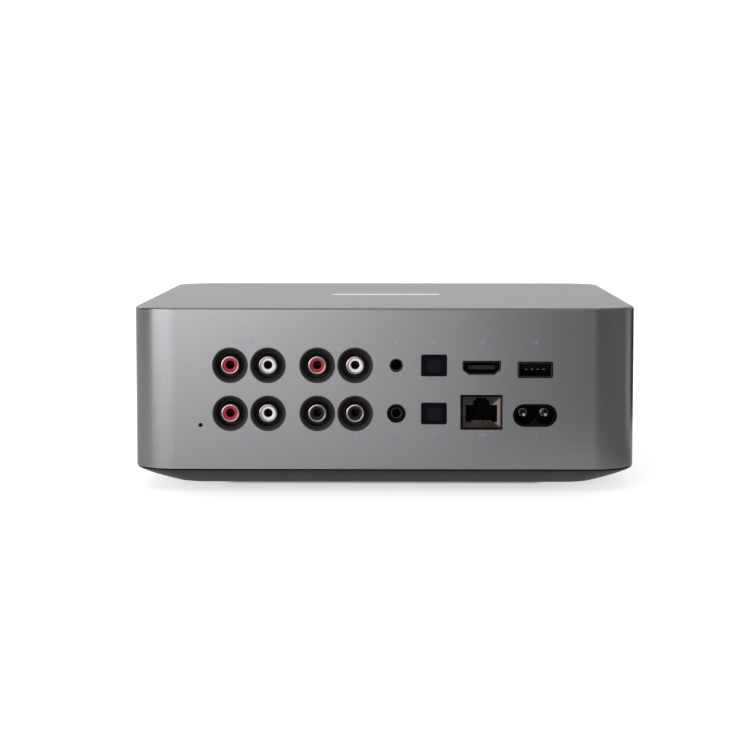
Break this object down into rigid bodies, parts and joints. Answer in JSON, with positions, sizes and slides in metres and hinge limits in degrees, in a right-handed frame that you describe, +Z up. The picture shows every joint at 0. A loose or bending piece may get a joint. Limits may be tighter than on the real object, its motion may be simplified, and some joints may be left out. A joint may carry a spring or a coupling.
{
  "type": "network music streamer",
  "caption": "Square rounded aluminium audio streamer on a tapered dark base, with a display and volume knob in front and rows of audio, data and mains sockets behind.",
  "frame": {"origin": "on the floor under the middle of the foot", "axes": "+Z up, +Y to the rear where the sockets are, +X to the right seen from the front"},
  "size_m": [0.2, 0.206, 0.073],
  "materials": {
    "anodised_case": "bead-blasted and anodised grey",
    "polished_bar": "polished",
    "base_plastic": "fine texture",
    "foot_rubber": "matt",
    "dark_screws": "blackened",
    "zinc_steel": "zinc plated",
    "brass": "turned",
    "circuit_board": "solder mask",
    "socket_black": "moulded",
    "flap_black": "moulded",
    "nickel_plate": "nickel plated",
    "red_plastic": "moulded",
    "white_plastic": "moulded",
    "black_plastic": "moulded",
    "contact_gold": "plated",
    "blackened_steel": "black oxide",
    "light_window": "clear red",
    "display_glass": "black printed back",
    "display_module": "moulded",
    "flat_cable": "polyimide film",
    "knob_aluminium": "turned and anodised",
    "hub_plastic": "moulded",
    "shaft_steel": "turned",
    "coil_and_core": "ferrite and tape",
    "can_sleeve": "shrink sleeve",
    "black_anodised": "black anodised",
    "tin_can": "tinned"
  },
  "bodies": {
    "case": {"case_shell": "anodised_case", "top_inlay": "polished_bar", "base_cover": "base_plastic", "foot_pad": "foot_rubber", "base_screws": "dark_screws", "chassis_plate": "zinc_steel", "chassis_screws": "zinc_steel", "board_screws": "zinc_steel", "front_screws": "zinc_steel", "board_spacers": "brass", "main_board": "circuit_board", "power_board": "circuit_board", "upper_board": "circuit_board", "front_board": "circuit_board", "link_header": "socket_black", "line_socket_block": "socket_black", "preout_socket_block": "socket_black", "trigger_jack": "socket_black", "optical_in_housing": "socket_black", "optical_out_housing": "socket_black", "video_tongue": "socket_black", "data_tongue": "socket_black", "network_insert": "socket_black", "inlet_housing": "socket_black", "headphone_jack": "socket_black", "reset_switch": "socket_black", "phono_barrels": "nickel_plate", "trigger_sleeve": "nickel_plate", "headphone_sleeve": "nickel_plate", "video_shell": "nickel_plate", "data_shell": "nickel_plate", "network_shield": "nickel_plate", "inlet_pins": "nickel_plate", "red_inserts": "red_plastic", "white_inserts": "white_plastic", "black_inserts": "black_plastic", "phono_contacts": "contact_gold", "data_contacts": "contact_gold", "network_contacts": "contact_gold", "ground_terminal": "blackened_steel", "optical_in_lens": "light_window", "optical_out_lens": "light_window", "display_glass": "display_glass", "display_panel": "display_module", "display_frame": "display_module", "display_ribbon": "flat_cable", "front_ribbon": "flat_cable", "encoder_body": "hub_plastic", "transformer": "coil_and_core", "bulk_capacitor": "can_sleeve", "audio_capacitors": "can_sleeve", "heat_sink": "black_anodised", "wireless_module": "tin_can"},
    "optical_in_flap": {"optical_in_door": "flap_black"},
    "optical_out_flap": {"optical_out_door": "flap_black"},
    "reset_button": {"reset_plunger": "black_plastic"},
    "volume_push": {"push_plunger": "hub_plastic"},
    "volume_knob": {"knob_cap": "knob_aluminium", "knob_hub": "hub_plastic", "encoder_shaft": "shaft_steel"}
  },
  "joints": [
    {"name": "optical_in_swing", "type": "hinge", "parent": "case", "child": "optical_in_flap", "pos_m": [-0.0197, 0.09798, 0.05345], "axis": [-1, 0, 0], "range_deg": [0, 85], "stiffness_Nm_per_rad": 0.0001},
    {"name": "optical_out_swing", "type": "hinge", "parent": "case", "child": "optical_out_flap", "pos_m": [-0.0197, 0.09798, 0.03435], "axis": [-1, 0, 0], "range_deg": [0, 85], "stiffness_Nm_per_rad": 0.0001},
    {"name": "reset_press", "type": "slide", "parent": "case", "child": "reset_button", "axis": [0, -1, 0], "range_m": [0, 0.0003], "stiffness_N_per_m": 6000},
    {"name": "volume_press", "type": "slide", "parent": "case", "child": "volume_push", "axis": [0, 1, 0], "range_m": [0, 0.0005], "stiffness_N_per_m": 8000},
    {"name": "volume_turn", "type": "hinge", "parent": "volume_push", "child": "volume_knob", "pos_m": [0.062, -0.1, 0.041], "axis": [0, -1, 0], "continuous": true}
  ]
}
